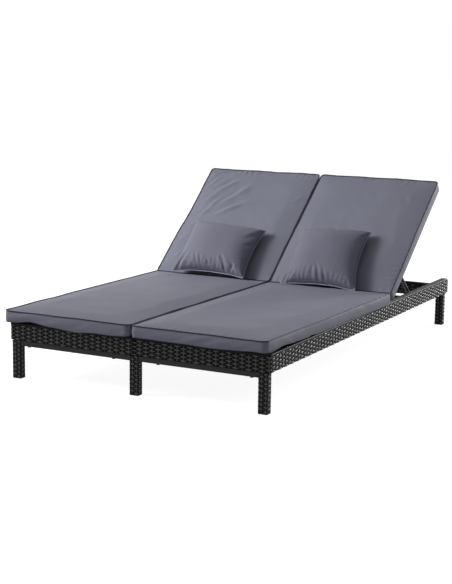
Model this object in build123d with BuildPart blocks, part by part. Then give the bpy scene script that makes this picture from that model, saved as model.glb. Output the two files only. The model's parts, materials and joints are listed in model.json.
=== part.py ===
from build123d import *
from math import asin, cos, degrees, radians, sin, tan
import os

os.makedirs("parts", exist_ok=True)

# Double chaise lounger, millimetres. Origin on the floor under the middle of the frame.
# +Y points from the foot end to the head end, +X to the right seen from the foot, +Z up.
# The backrests are shown raised in their top notch.

# Frame as a whole
frame_length = 1980
frame_width = 1168
rail_bottom = 158
rail_height = 71
rail_width = 32
head_rail_height = 40
half_seam = 2

# Woven skin on the rails
skin = 3
strand_rows = 8
strand_bulge = 0.9
border_height = 9
rear_corner_radius = 18
foot_corner_radius = 10
trim_margin = 1

# Steel tubes inside the rails
rail_tube_height = 18
upright_length = 20
upright_count = 7
tube_wall = 1.2

# Legs and the crossbars that join them
leg_width = 40
leg_depth = 34
leg_inset = 11
leg_skin = 4
leg_corner_radius = 4
cap_thickness = 6
cap_edge = 1.5
plug_height = 15
plug_clearance = 0.2
crossbar_height = 20
crossbar_gap = 2
spacer_radius = 9

# Seat deck
beam_width = 25
slat_width = 60
slat_thickness = 12
slat_count = 7
slat_wall = 0.9
slat_margin = 15
ledge_leg = 20
ledge_thickness = 3

# Backrest frame and its hinge
recline_angle = 39.2
crease_to_head = 807
backrest_tube_width = 20
backrest_tube_depth = 25
backrest_length = 706
backrest_outer_gap = 34
backrest_inner_gap = 30
back_slat_width = 50
back_slat_count = 4
back_slat_margin = 28
cross_tube_width = 25
hinge_tube = 25
hinge_tube_gap = 2.5
ear_thickness = 4
ear_gap = 0.5
ear_edge = 12
running_gap = 0.3

# Prop: one bent tube that holds the backrest up
prop_radius = 8
prop_wall = 1.5
prop_bend_radius = 28
prop_slope = 40.5
crease_to_prop_foot = 429
prop_foot_height = 183
outer_arm_gap = 20
inner_arm_gap = 16
eye_radius = 10
eye_width = 10
eye_overlap = 1.5
arm_end_thickness = 3

# Toothed racks under the prop's foot
notch_count = 5
tooth_depth = 6
notch_radius = 8.5
ramp_length = 14
rack_thickness = 4
rack_floor = 3
rack_reach = 66
rack_margin = 18
rack_rise = 2

# Fasteners
bolt_radius = 4
bolt_clearance = 0.2
pivot_clearance = 0.06
hex_size = 13
head_height = 5
nut_height = 6.5
bolt_stickout = 3
centre_bolt_margin = 99
end_bolt_margin = 52
centre_bolt_count = 4
centre_bolt_pitch = 280
centre_bolt_place = -420
pivot_spacer_radius = 7

# Cushions
rest_gap = 0.3
pad_thickness = 50
pad_width = 585
pad_gap = 10
pad_crown = 7
pad_end_crown = 2
pad_crease_crown = 1
pad_side_bulge = 3
pad_side_draw = 4
pad_foot_overhang = 11
pad_corner_radius = 20
crease_gap = 2.4
back_pad_top = 729
pillow_width = 388
pillow_height = 330
pillow_front_depth = 68
pillow_back_depth = 36
pillow_side_draw = 10
pillow_lift = 6.1
left_pillow_place = -291
left_pillow_drop = 18
left_pillow_tilt = 0
right_pillow_place = 257
right_pillow_drop = 6
right_pillow_tilt = 4
# Size of the pillow's outline and its depth, layer by layer from the seam to the face
pillow_outline_shares = (1.0, 0.9, 0.7, 0.4)
pillow_depth_shares = (0.0, 0.42, 0.8, 1.0)

# How far a cut runs past what it cuts
overrun = 20

# Places that follow from the sizes above
half_length = frame_length / 2
half_width = frame_width / 2
rail_top = rail_bottom + rail_height
head_rail_top = rail_bottom + head_rail_height
rail_inner = half_width - rail_width
end_rail_inner = half_length - rail_width
end_rail_middle = half_length - rail_width / 2
seam = half_seam / 2
crease_place = half_length - crease_to_head
core_bottom = rail_bottom + skin
core_top = rail_top - skin
crossbar_top = rail_bottom - crossbar_gap
crossbar_bottom = crossbar_top - crossbar_height
leg_middle_x = half_width - leg_inset - leg_width / 2
leg_middle_y = half_length - leg_depth / 2
leg_core_width = leg_width - 2 * leg_skin
leg_core_depth = leg_depth - 2 * leg_skin
beam_outer = seam + beam_width
beam_top = rail_top - slat_thickness
beam_bottom = rail_bottom
seat_top = rail_top + rest_gap + pad_thickness
tube_half_depth = backrest_tube_depth / 2
hinge_z = rail_top - tube_half_depth
hinge_y = crease_place + (seat_top - hinge_z) * tan(radians(recline_angle / 2))
hinge_tube_end = hinge_y - tube_half_depth - hinge_tube_gap
hinge_tube_start = hinge_tube_end - hinge_tube
outer_tube_outer = rail_inner - backrest_outer_gap
outer_tube_inner = outer_tube_outer - backrest_tube_width
inner_tube_inner = beam_outer + backrest_inner_gap
inner_tube_outer = inner_tube_inner + backrest_tube_width
outer_arm = rail_inner - outer_arm_gap
inner_arm = beam_outer + inner_arm_gap
back_plane = Plane(
    origin=(0, hinge_y, hinge_z),
    x_dir=(1, 0, 0),
    z_dir=(0, -sin(radians(recline_angle)), cos(radians(recline_angle))),
)

# The foot of the prop runs level over the racks, so its pivot and length follow from that
prop_foot_place = crease_place + crease_to_prop_foot
foot_run = prop_foot_place - hinge_y
foot_drop = hinge_z - prop_foot_height
slope_ratio = tan(radians(prop_slope))
pivot_distance = (slope_ratio * foot_run - foot_drop) / (
    sin(radians(recline_angle)) + slope_ratio * cos(radians(recline_angle))
)
pivot_y = hinge_y + pivot_distance * cos(radians(recline_angle))
pivot_z = hinge_z + pivot_distance * sin(radians(recline_angle))
prop_length = (prop_foot_place - pivot_y) / cos(radians(prop_slope))
flat_slope = degrees(asin(foot_drop / prop_length))
prop_ratio = -(1 + (prop_slope - flat_slope) / recline_angle)
flat_foot_place = hinge_y + pivot_distance + prop_length * cos(radians(flat_slope))
prop_plane = Plane(
    origin=(0, pivot_y, pivot_z),
    x_dir=(1, 0, 0),
    z_dir=(0, sin(radians(prop_slope)), cos(radians(prop_slope))),
)


def foot_height(angle):
    # Height of the prop's foot with the backrest at this angle
    slope = flat_slope + (prop_slope - flat_slope) * angle / recline_angle
    rise = pivot_distance * sin(radians(angle))
    return hinge_z + rise - prop_length * sin(radians(slope))


lowest_foot = min(foot_height(recline_angle * step / 40) for step in range(41))
tooth_top = lowest_foot - prop_radius - running_gap
rack_bottom = rail_bottom + rack_rise

print("hinge", round(hinge_y, 3), round(hinge_z, 3))
print("prop pivot", round(pivot_y, 3), round(pivot_z, 3), "distance", round(pivot_distance, 3))
print("prop length", round(prop_length, 3), "ratio", round(prop_ratio, 5))
print("foot of the prop from", prop_foot_place, "to", round(flat_foot_place, 3))
print("tooth top", round(tooth_top, 3), "lowest foot", round(lowest_foot, 3))


def save(piece, name):
    piece.part.label = name
    export_step(piece.part, f"parts/{name}.step")


def block(x_range, y_range, z_range, mode=Mode.ADD):
    # A box between two places along each axis, in either order
    middle = tuple(sum(ends) / 2 for ends in (x_range, y_range, z_range))
    sizes = [abs(ends[1] - ends[0]) for ends in (x_range, y_range, z_range)]
    with Locations(middle):
        Box(*sizes, mode=mode)


def shrink(ends, wall):
    low, high = sorted(ends)
    return (low + wall, high - wall)


def tube_along_x(x_range, y_range, z_range, wall):
    block(x_range, y_range, z_range)
    block(x_range, shrink(y_range, wall), shrink(z_range, wall), mode=Mode.SUBTRACT)


def tube_along_y(x_range, y_range, z_range, wall):
    block(x_range, y_range, z_range)
    block(shrink(x_range, wall), y_range, shrink(z_range, wall), mode=Mode.SUBTRACT)


def bore_along_x(x, y, z, radius, length, mode=Mode.ADD):
    with Locations((x, y, z)):
        Cylinder(radius, length, rotation=(0, 90, 0), mode=mode)


# Woven rails and the tubes inside them


def woven_section(plane, inner, outer, top):
    # Rows of strands below a plain border, on both faces of the rail
    toward = 1 if outer > inner else -1
    bulge = toward * strand_bulge
    border = top - border_height
    rows = round(strand_rows * (border - rail_bottom) / (rail_height - border_height))
    row_height = (border - rail_bottom) / rows
    with BuildSketch(plane) as section:
        with BuildLine():
            for row in range(rows):
                low = rail_bottom + row * row_height
                middle = low + row_height / 2
                high = low + row_height
                ThreePointArc((outer - bulge, low), (outer, middle), (outer - bulge, high))
                ThreePointArc((inner + bulge, low), (inner, middle), (inner + bulge, high))
            Line((inner + bulge, rail_bottom), (outer - bulge, rail_bottom))
            Polyline(
                (outer - bulge, border),
                (outer, border),
                (outer, top),
                (inner, top),
                (inner, border),
                (inner + bulge, border),
            )
        make_face()
    return section.sketch


def side_rail_weave(side, name):
    # The cutting shapes stand a little proud of the faces, so that they only trim the corners
    outer = side * half_width
    inner = side * rail_inner
    with BuildPart() as weave:
        extrude(
            woven_section(Plane.XZ.offset(-half_length - overrun), inner, outer, rail_top),
            amount=frame_length + 2 * overrun,
        )
        with BuildSketch(Plane.YZ.offset(-half_width - overrun)) as outline:
            with Locations((0, (rail_bottom + rail_top) / 2)):
                Rectangle(frame_length, rail_height + 2 * trim_margin)
            fillet(outline.vertices().group_by(Axis.X)[-1].sort_by(Axis.Y)[-1], rear_corner_radius)
        extrude(amount=frame_width + 2 * overrun, mode=Mode.INTERSECT)
        with BuildSketch(Plane.XY) as plan:
            with Locations(((inner + outer) / 2, overrun / 2)):
                Rectangle(rail_width + 2 * trim_margin, frame_length + overrun)
            foot_corners = plan.vertices().group_by(Axis.Y)[0].sort_by(Axis.X)
            fillet(foot_corners[-1 if side > 0 else 0], foot_corner_radius)
        extrude(amount=rail_top + overrun, mode=Mode.INTERSECT)
        block(
            shrink((inner, outer), skin),
            (-half_length + foot_corner_radius, half_length - rear_corner_radius),
            (core_bottom, core_top),
            mode=Mode.SUBTRACT,
        )
    save(weave, name)


def side_rail_frame(side, name):
    # Two long tubes with welded uprights, inside the woven skin
    x_range = shrink((side * rail_inner, side * half_width), skin)
    y_range = (-half_length + foot_corner_radius, half_length - rear_corner_radius)
    pitch = (y_range[1] - y_range[0] - upright_length) / (upright_count - 1)
    with BuildPart() as frame:
        tube_along_y(x_range, y_range, (core_bottom, core_bottom + rail_tube_height), tube_wall)
        tube_along_y(x_range, y_range, (core_top - rail_tube_height, core_top), tube_wall)
        upright_height = core_top - core_bottom - 2 * rail_tube_height
        with Locations((sum(x_range) / 2, sum(y_range) / 2, (core_bottom + core_top) / 2)):
            with GridLocations(0, pitch, 1, upright_count):
                Box(x_range[1] - x_range[0], upright_length, upright_height)
    save(frame, name)


def crossbar_bolt_places(side, end):
    places = (seam + centre_bolt_margin, rail_inner - end_bolt_margin)
    return [(side * place, end * end_rail_middle) for place in places]


def end_rail_weave(side, end, top, name):
    outer = end * half_length
    inner = end * end_rail_inner
    x_range = sorted((side * seam, side * rail_inner))
    with BuildPart() as weave:
        extrude(
            woven_section(Plane.YZ.offset(x_range[0]), inner, outer, top),
            amount=x_range[1] - x_range[0],
        )
        block(
            shrink(x_range, skin),
            shrink((inner, outer), skin),
            (core_bottom, top - skin),
            mode=Mode.SUBTRACT,
        )
        with BuildSketch(Plane.XY.offset(rail_bottom)):
            with Locations(*crossbar_bolt_places(side, end)):
                Circle(bolt_radius + bolt_clearance)
        extrude(amount=skin, mode=Mode.SUBTRACT)
    save(weave, name)


def end_rail_frame(side, end, top, name):
    # One box tube, drilled from below for the crossbar's bolts
    x_range = shrink((side * seam, side * rail_inner), skin)
    y_range = shrink((end * end_rail_inner, end * half_length), skin)
    with BuildPart() as frame:
        tube_along_x(x_range, y_range, (core_bottom, top - skin), tube_wall)
        with BuildSketch(Plane.XY.offset(core_bottom)):
            with Locations(*crossbar_bolt_places(side, end)):
                Circle(bolt_radius + bolt_clearance)
        extrude(amount=tube_wall, mode=Mode.SUBTRACT)
    save(frame, name)


# Legs and crossbars


def leg_tube(x, y, name):
    with BuildPart() as tube:
        with BuildSketch(Plane.XY.offset(cap_thickness)):
            with Locations((x, y)):
                Rectangle(leg_core_width, leg_core_depth)
                Rectangle(
                    leg_core_width - 2 * tube_wall,
                    leg_core_depth - 2 * tube_wall,
                    mode=Mode.SUBTRACT,
                )
        extrude(amount=crossbar_bottom - cap_thickness)
    save(tube, name)


def leg_weave(x, y, name):
    # Woven sleeve with an open slot at the top, where the crossbar comes through
    slot_low = x - (leg_core_width if x < 0 else leg_width) / 2
    slot_high = x + (leg_core_width if x > 0 else leg_width) / 2
    with BuildPart() as sleeve:
        with BuildSketch(Plane.XY.offset(cap_thickness)):
            with Locations((x, y)):
                RectangleRounded(leg_width, leg_depth, leg_corner_radius)
                Rectangle(leg_core_width, leg_core_depth, mode=Mode.SUBTRACT)
        extrude(amount=crossbar_top - cap_thickness)
        block(
            (slot_low, slot_high),
            (y - leg_core_depth / 2, y + leg_core_depth / 2),
            (crossbar_bottom, crossbar_top),
            mode=Mode.SUBTRACT,
        )
    save(sleeve, name)


def foot_caps(places):
    # Plastic plugs, each with a flange that stands on the floor
    with BuildPart() as caps:
        with BuildSketch():
            with Locations(*places):
                RectangleRounded(leg_width, leg_depth, leg_corner_radius)
        extrude(amount=cap_thickness)
        chamfer(caps.edges().group_by(Axis.Z)[0], cap_edge)
        with BuildSketch(Plane.XY.offset(cap_thickness)):
            with Locations(*places):
                Rectangle(
                    leg_core_width - 2 * tube_wall - 2 * plug_clearance,
                    leg_core_depth - 2 * tube_wall - 2 * plug_clearance,
                )
        extrude(amount=plug_height)
    save(caps, "foot_caps")


def crossbar(end, name):
    reach = leg_middle_x + leg_core_width / 2
    y = end * leg_middle_y
    y_range = (y - leg_core_depth / 2, y + leg_core_depth / 2)
    with BuildPart() as bar:
        tube_along_x((-reach, reach), y_range, (crossbar_bottom, crossbar_top), tube_wall)
        with BuildSketch(Plane.XY.offset(crossbar_bottom)):
            for side in (-1, 1):
                with Locations(*crossbar_bolt_places(side, end)):
                    Circle(bolt_radius + bolt_clearance)
        extrude(amount=crossbar_height, mode=Mode.SUBTRACT)
    save(bar, name)


def crossbar_spacers():
    with BuildPart() as spacers:
        with BuildSketch(Plane.XY.offset(crossbar_top)):
            for end in (-1, 1):
                for side in (-1, 1):
                    with Locations(*crossbar_bolt_places(side, end)):
                        Circle(spacer_radius)
                        Circle(bolt_radius + bolt_clearance, mode=Mode.SUBTRACT)
        extrude(amount=crossbar_gap)
    save(spacers, "crossbar_spacers")


def crossbar_bolts():
    # Hex bolts up through crossbar, spacer and rail, each with its nut inside the rail's tube
    nut_seat = core_bottom + tube_wall
    shank = nut_seat + nut_height + bolt_stickout - crossbar_bottom
    places = [spot for end in (-1, 1) for side in (-1, 1) for spot in crossbar_bolt_places(side, end)]
    with BuildPart() as bolts:
        with BuildSketch(Plane.XY.offset(crossbar_bottom)):
            with Locations(*places):
                RegularPolygon(hex_size / 2, 6, major_radius=False)
        extrude(amount=-head_height)
        with BuildSketch(Plane.XY.offset(crossbar_bottom)):
            with Locations(*places):
                Circle(bolt_radius)
        extrude(amount=shank)
        with BuildSketch(Plane.XY.offset(nut_seat)):
            with Locations(*places):
                RegularPolygon(hex_size / 2, 6, major_radius=False)
        extrude(amount=nut_height)
    save(bolts, "crossbar_bolts")


# Seat deck


def centre_bolt_places():
    middle = (centre_bolt_count - 1) / 2
    height = (beam_bottom + beam_top) / 2
    steps = [step - middle for step in range(centre_bolt_count)]
    return [(centre_bolt_place + step * centre_bolt_pitch, height) for step in steps]


def centre_beam(side, name):
    x_range = sorted((side * seam, side * beam_outer))
    with BuildPart() as beam:
        tube_along_y(x_range, (-end_rail_inner, end_rail_inner), (beam_bottom, beam_top), tube_wall)
        with BuildSketch(Plane.YZ.offset(x_range[0])):
            with Locations(*centre_bolt_places()):
                Circle(bolt_radius + bolt_clearance)
        extrude(amount=beam_width, mode=Mode.SUBTRACT)
    save(beam, name)


def centre_bolts():
    # Bolts that hold the two halves of the frame together, each with a washer in the seam
    with BuildPart() as bolts:
        for y, z in centre_bolt_places():
            bolt_along_x(-beam_outer, beam_outer, y, z)
            bore_along_x(0, y, z, spacer_radius, half_seam)
    save(bolts, "centre_bolts")


def slat_ledge(side, name):
    # Angle strip that carries the slats along the side rail
    edge = side * rail_inner
    with BuildPart() as ledge:
        with BuildSketch(Plane.XZ.offset(end_rail_inner)):
            with BuildLine():
                Polyline(
                    (edge, beam_top),
                    (edge - side * ledge_leg, beam_top),
                    (edge - side * ledge_leg, beam_top - ledge_thickness),
                    (edge - side * ledge_thickness, beam_top - ledge_thickness),
                    (edge - side * ledge_thickness, beam_top - ledge_leg),
                    (edge, beam_top - ledge_leg),
                    close=True,
                )
            make_face()
        extrude(amount=-(hinge_tube_start + end_rail_inner))
    save(ledge, name)


def seat_slats(side, name):
    x_range = (side * seam, side * rail_inner)
    first = -end_rail_inner + slat_margin
    last = hinge_tube_start - slat_margin - slat_width
    with BuildPart() as slats:
        for step in range(slat_count):
            start = first + step * (last - first) / (slat_count - 1)
            tube_along_x(x_range, (start, start + slat_width), (beam_top, rail_top), slat_wall)
    save(slats, name)


# Fasteners that lie across the lounger


def across_sketch(x, y, z, radius, sides=0):
    # Round or many-sided outline on a plane across X
    with BuildSketch(Plane.YZ.offset(x)) as outline:
        with Locations((y, z)):
            if sides:
                RegularPolygon(radius, sides, major_radius=False)
            else:
                Circle(radius)
    return outline.sketch


def bolt_along_x(head_face, nut_face, y, z):
    # Head outside one face, nut outside the other, shank between them
    toward = 1 if nut_face > head_face else -1
    extrude(across_sketch(head_face, y, z, hex_size / 2, 6), amount=-toward * head_height)
    extrude(across_sketch(nut_face, y, z, hex_size / 2, 6), amount=toward * nut_height)
    shank = nut_face - head_face + toward * (nut_height + bolt_stickout)
    extrude(across_sketch(head_face, y, z, bolt_radius), amount=shank)


# Hinge


def ear_ranges(side):
    outer_ear = outer_tube_outer + ear_gap
    inner_ear = inner_tube_inner - ear_gap
    return (
        (side * outer_ear, side * (outer_ear + ear_thickness)),
        (side * inner_ear, side * (inner_ear - ear_thickness)),
    )


def hinge_crossmember(side, name):
    # Cross tube at the crease with two welded ears for the backrest's pivots
    x_range = (side * beam_outer, side * rail_inner)
    with BuildPart() as member:
        for ends in ear_ranges(side):
            with BuildSketch(Plane.YZ.offset(min(ends))):
                with Locations((hinge_tube_end - ear_edge / 2, beam_top - ear_edge / 2)):
                    Rectangle(ear_edge, ear_edge)
                with Locations((hinge_y, hinge_z)):
                    Circle(ear_edge)
                make_hull()
            extrude(amount=ear_thickness)
        tube_along_x(
            x_range,
            (hinge_tube_start, hinge_tube_end),
            (beam_top - hinge_tube, beam_top),
            tube_wall,
        )
        for ends in ear_ranges(side):
            bore_along_x(
                sum(ends) / 2,
                hinge_y,
                hinge_z,
                bolt_radius + pivot_clearance,
                ear_thickness,
                mode=Mode.SUBTRACT,
            )
    save(member, name)


def hinge_bolts():
    with BuildPart() as bolts:
        for side in (-1, 1):
            outer_ear, inner_ear = ear_ranges(side)
            outer_nut = side * (outer_tube_inner - running_gap)
            inner_nut = side * (inner_tube_outer + running_gap)
            bolt_along_x(outer_ear[1], outer_nut, hinge_y, hinge_z)
            bolt_along_x(inner_ear[1], inner_nut, hinge_y, hinge_z)
    save(bolts, "hinge_bolts")


# Backrest frame


def backrest_tube(x_range, name):
    # Side tube with a rounded end at the hinge and a bore for each pivot
    low, high = sorted(x_range)
    middle = (low + high) / 2
    with BuildPart(back_plane) as tube:
        block((low, high), (0, backrest_length), (-tube_half_depth, tube_half_depth))
        block(
            shrink((low, high), tube_wall),
            (tube_half_depth, backrest_length - tube_wall),
            shrink((-tube_half_depth, tube_half_depth), tube_wall),
            mode=Mode.SUBTRACT,
        )
        bore_along_x(middle, 0, 0, tube_half_depth, high - low)
        for place in (0, pivot_distance):
            bore_along_x(
                middle, place, 0, bolt_radius + pivot_clearance, high - low, mode=Mode.SUBTRACT
            )
    save(tube, name)


def backrest_slats(side, name):
    # A cross tube at each end and flat slats between the side tubes
    x_range = (side * inner_tube_outer, side * outer_tube_inner)
    first = back_slat_margin + cross_tube_width
    last = backrest_length - cross_tube_width
    gap = (last - first - back_slat_count * back_slat_width) / (back_slat_count + 1)
    depth_range = (-tube_half_depth, tube_half_depth)
    with BuildPart(back_plane) as slats:
        for start in (back_slat_margin, last):
            tube_along_x(x_range, (start, start + cross_tube_width), depth_range, tube_wall)
        for step in range(back_slat_count):
            start = first + gap + step * (back_slat_width + gap)
            tube_along_x(
                x_range,
                (start, start + back_slat_width),
                (tube_half_depth - slat_thickness, tube_half_depth),
                slat_wall,
            )
    save(slats, name)


# Prop and racks


def prop_frame(side, name):
    # A tube bent to a U: an eye on each arm, and its long foot lies across the racks
    inner = side * inner_arm
    outer = side * outer_arm
    tube_start = eye_radius - eye_overlap
    with BuildPart(prop_plane) as prop:
        with BuildLine(prop_plane):
            route = FilletPolyline(
                (inner, tube_start),
                (inner, prop_length),
                (outer, prop_length),
                (outer, tube_start),
                radius=prop_bend_radius,
            )
        with BuildSketch(Plane(route @ 0, z_dir=route % 0)) as wall:
            Circle(prop_radius)
            Circle(prop_radius - prop_wall, mode=Mode.SUBTRACT)
        sweep(wall.sketch, path=route)
        for arm in (inner, outer):
            with Locations((arm, tube_start + arm_end_thickness / 2, 0)):
                Cylinder(prop_radius, arm_end_thickness, rotation=(90, 0, 0))
            bore_along_x(arm, 0, 0, eye_radius, eye_width)
            bore_along_x(
                arm, 0, 0, bolt_radius + pivot_clearance, eye_width, mode=Mode.SUBTRACT
            )
    save(prop, name)


def prop_bolts(side, name):
    # Pivot bolts through tube and eye, each with a sleeve to space the two
    with BuildPart() as bolts:
        for tube_near, tube_far, arm in (
            (outer_tube_outer, outer_tube_inner, outer_arm),
            (inner_tube_inner, inner_tube_outer, inner_arm),
        ):
            toward = 1 if arm > tube_near else -1
            head_face = arm + toward * (eye_width / 2 + running_gap)
            eye_face = arm - toward * (eye_width / 2 + running_gap)
            bolt_along_x(side * head_face, side * tube_far, pivot_y, pivot_z)
            extrude(
                across_sketch(side * tube_near, pivot_y, pivot_z, pivot_spacer_radius),
                amount=side * (eye_face - tube_near),
            )
    save(bolts, name)


def rack(wall_x, toward, name):
    # Angle plate whose upright leg has a notch for each position, with a slanted way in
    start = prop_foot_place - rack_margin
    end = flat_foot_place + rack_margin
    pitch = (flat_foot_place - prop_foot_place) / (notch_count - 1)
    leg_face = wall_x + toward * rack_reach
    leg_low = min(leg_face, leg_face - toward * rack_thickness)
    notch_bottom = tooth_top - tooth_depth
    with BuildPart() as plate:
        block((wall_x, leg_face), (start, end), (rack_bottom, rack_bottom + rack_floor))
        with BuildSketch(Plane.YZ.offset(leg_low)):
            with Locations(((start + end) / 2, (rack_bottom + tooth_top) / 2)):
                Rectangle(end - start, tooth_top - rack_bottom)
            for notch in range(notch_count):
                place = prop_foot_place + notch * pitch
                with Locations((place, notch_bottom + notch_radius)):
                    Circle(notch_radius, mode=Mode.SUBTRACT)
                with BuildLine():
                    Polyline(
                        (place, notch_bottom),
                        (place - ramp_length, tooth_top),
                        (place, tooth_top),
                        close=True,
                    )
                make_face(mode=Mode.SUBTRACT)
        extrude(amount=rack_thickness)
    save(plate, name)


# Cushions


def pad_section(plane, middle, width, bottom, crown):
    # Flat underneath, sides bowed out, top crowned
    left = middle - width / 2
    right = middle + width / 2
    top = bottom + pad_thickness
    half = bottom + pad_thickness / 2
    with BuildSketch(plane) as section:
        with BuildLine():
            Line((left, bottom), (right, bottom))
            ThreePointArc((right, bottom), (right + pad_side_bulge, half), (right, top))
            ThreePointArc((right, top), (middle, top + crown), (left, top))
            ThreePointArc((left, top), (left - pad_side_bulge, half), (left, bottom))
        make_face()
    return section.sketch


def pad_body(planes, side, bottom):
    # Outer end, middle and crease end: crowned and drawn in between the ends
    middle = side * (pad_gap + pad_width) / 2
    width = pad_width - 2 * pad_side_bulge
    return [
        pad_section(planes[0], middle, width, bottom, pad_end_crown),
        pad_section(planes[1], middle, width - 2 * pad_side_draw, bottom, pad_crown),
        pad_section(planes[2], middle, width, bottom, pad_crease_crown),
    ]


def seat_pad(side, name):
    foot = half_length + pad_foot_overhang
    crease = -crease_place + crease_gap / 2
    planes = [Plane.XZ.offset(place) for place in (foot, (foot + crease) / 2, crease)]
    with BuildPart() as pad:
        loft(pad_body(planes, side, rail_top + rest_gap))
        end_face = pad.faces().sort_by(Axis.Y)[0]
        corners = end_face.edges().sort_by(Axis.X)
        fillet([corners[0], corners[-1]], pad_corner_radius)
    save(pad, name)


def across_back(place):
    # Plane across the backrest at this distance from the hinge, local +Y away from the frame
    return Plane(
        origin=back_plane.from_local_coords((0, place, 0)),
        x_dir=(1, 0, 0),
        z_dir=-back_plane.y_dir,
    )


def back_pad(side, name):
    crease = (seat_top - hinge_z) * tan(radians(recline_angle / 2)) + crease_gap / 2
    places = (back_pad_top, (back_pad_top + crease) / 2, crease)
    with BuildPart() as pad:
        loft(pad_body([across_back(place) for place in places], side, tube_half_depth + rest_gap))
        end_face = pad.faces().sort_by(Axis.Y)[-1]
        corners = end_face.edges().sort_by(Axis.X)
        fillet([corners[0], corners[-1]], pad_corner_radius)
    save(pad, name)


def pillow_outline(plane, share):
    # Four corners with the sides drawn in between them
    width = share * pillow_width / 2
    height = share * pillow_height / 2
    draw = share * pillow_side_draw
    with BuildSketch(plane) as outline:
        with BuildLine():
            ThreePointArc((-width, -height), (0, draw - height), (width, -height))
            ThreePointArc((width, -height), (width - draw, 0), (width, height))
            ThreePointArc((width, height), (0, height - draw), (-width, height))
            ThreePointArc((-width, height), (draw - width, 0), (-width, -height))
        make_face()
    return outline.sketch


def pillow(place, drop, tilt, name):
    # Two crowned faces that meet in an edge all round, leaning on the back pad
    seam_height = tube_half_depth + rest_gap + pad_thickness + pillow_lift + pillow_back_depth
    spot = Location((place, pillow_height / 2 - drop, seam_height), (0, 0, tilt))
    seam_plane = Plane(back_plane.location * spot)
    layers = list(zip(pillow_outline_shares, pillow_depth_shares))
    with BuildPart() as body:
        for depth in (pillow_front_depth, -pillow_back_depth):
            loft([pillow_outline(seam_plane.offset(rise * depth), share) for share, rise in layers])
    save(body, name)


leg_places = {}
for end, end_name in ((-1, "foot"), (1, "head")):
    for place, place_name in ((-leg_middle_x, "left"), (0, "centre"), (leg_middle_x, "right")):
        leg_places[f"{end_name}_{place_name}"] = (place, end * leg_middle_y)
    crossbar(end, f"{end_name}_crossbar")
for leg_name, (leg_x, leg_y) in leg_places.items():
    leg_tube(leg_x, leg_y, f"leg_tube_{leg_name}")
    leg_weave(leg_x, leg_y, f"leg_weave_{leg_name}")
foot_caps(list(leg_places.values()))
crossbar_spacers()
crossbar_bolts()
centre_bolts()
hinge_bolts()

for side, side_name in ((-1, "left"), (1, "right")):
    side_rail_weave(side, f"side_rail_weave_{side_name}")
    side_rail_frame(side, f"side_rail_frame_{side_name}")
    end_rail_weave(side, -1, rail_top, f"foot_rail_weave_{side_name}")
    end_rail_frame(side, -1, rail_top, f"foot_rail_frame_{side_name}")
    end_rail_weave(side, 1, head_rail_top, f"head_rail_weave_{side_name}")
    end_rail_frame(side, 1, head_rail_top, f"head_rail_frame_{side_name}")
    centre_beam(side, f"centre_beam_{side_name}")
    slat_ledge(side, f"slat_ledge_{side_name}")
    seat_slats(side, f"seat_slats_{side_name}")
    hinge_crossmember(side, f"hinge_crossmember_{side_name}")
    outer_tube = (side * outer_tube_inner, side * outer_tube_outer)
    inner_tube = (side * inner_tube_inner, side * inner_tube_outer)
    backrest_tube(outer_tube, f"backrest_outer_tube_{side_name}")
    backrest_tube(inner_tube, f"backrest_inner_tube_{side_name}")
    backrest_slats(side, f"backrest_slats_{side_name}")
    prop_frame(side, f"prop_frame_{side_name}")
    prop_bolts(side, f"prop_bolts_{side_name}")
    rack(side * rail_inner, -side, f"rack_outer_{side_name}")
    rack(side * beam_outer, side, f"rack_inner_{side_name}")
    seat_pad(side, f"seat_pad_{side_name}")
    back_pad(side, f"back_pad_{side_name}")

pillow(left_pillow_place, left_pillow_drop, left_pillow_tilt, "pillow_left")
pillow(right_pillow_place, right_pillow_drop, right_pillow_tilt, "pillow_right")
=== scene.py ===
import bpy
import json
import math
import numpy as np
from mathutils import Matrix, Vector, noise


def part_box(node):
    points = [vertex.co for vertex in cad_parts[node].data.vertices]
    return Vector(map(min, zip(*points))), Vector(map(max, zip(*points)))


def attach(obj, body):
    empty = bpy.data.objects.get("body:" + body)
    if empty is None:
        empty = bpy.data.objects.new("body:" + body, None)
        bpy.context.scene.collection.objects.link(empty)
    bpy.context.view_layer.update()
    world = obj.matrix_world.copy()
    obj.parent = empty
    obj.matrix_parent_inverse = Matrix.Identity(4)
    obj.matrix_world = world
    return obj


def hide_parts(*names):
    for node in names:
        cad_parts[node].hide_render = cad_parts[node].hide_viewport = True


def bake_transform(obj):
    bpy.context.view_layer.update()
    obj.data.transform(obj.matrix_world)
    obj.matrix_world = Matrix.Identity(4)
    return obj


# Double chaise lounger: woven rails and legs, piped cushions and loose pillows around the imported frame.
# Metres, Z up, foot end towards -Y.

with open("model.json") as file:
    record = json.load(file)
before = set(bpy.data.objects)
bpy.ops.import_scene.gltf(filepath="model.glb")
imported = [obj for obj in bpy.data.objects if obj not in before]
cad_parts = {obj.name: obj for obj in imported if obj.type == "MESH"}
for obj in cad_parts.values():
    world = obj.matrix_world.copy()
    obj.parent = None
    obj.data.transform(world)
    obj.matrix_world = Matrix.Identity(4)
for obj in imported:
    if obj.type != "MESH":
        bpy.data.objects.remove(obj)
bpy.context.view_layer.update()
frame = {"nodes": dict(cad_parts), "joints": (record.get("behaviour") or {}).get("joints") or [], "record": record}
print("frame loaded:", len(frame["nodes"]), "nodes")

sides = {"left": -1, "right": 1}
recline = -math.radians(frame["joints"][0]["range_deg"][0])
hingeY, hingeZ = frame["joints"][0]["pos_m"][1:]
backSpace = Matrix.Translation((0, hingeY, hingeZ)) @ Matrix.Rotation(recline, 4, "X")


# Materials

def linear(hexCode):
    channels = [int(hexCode[i:i + 2], 16) / 255 for i in (1, 3, 5)]
    return [c / 12.92 if c <= 0.04045 else ((c + 0.055) / 1.055) ** 2.4 for c in channels] + [1.0]


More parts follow.
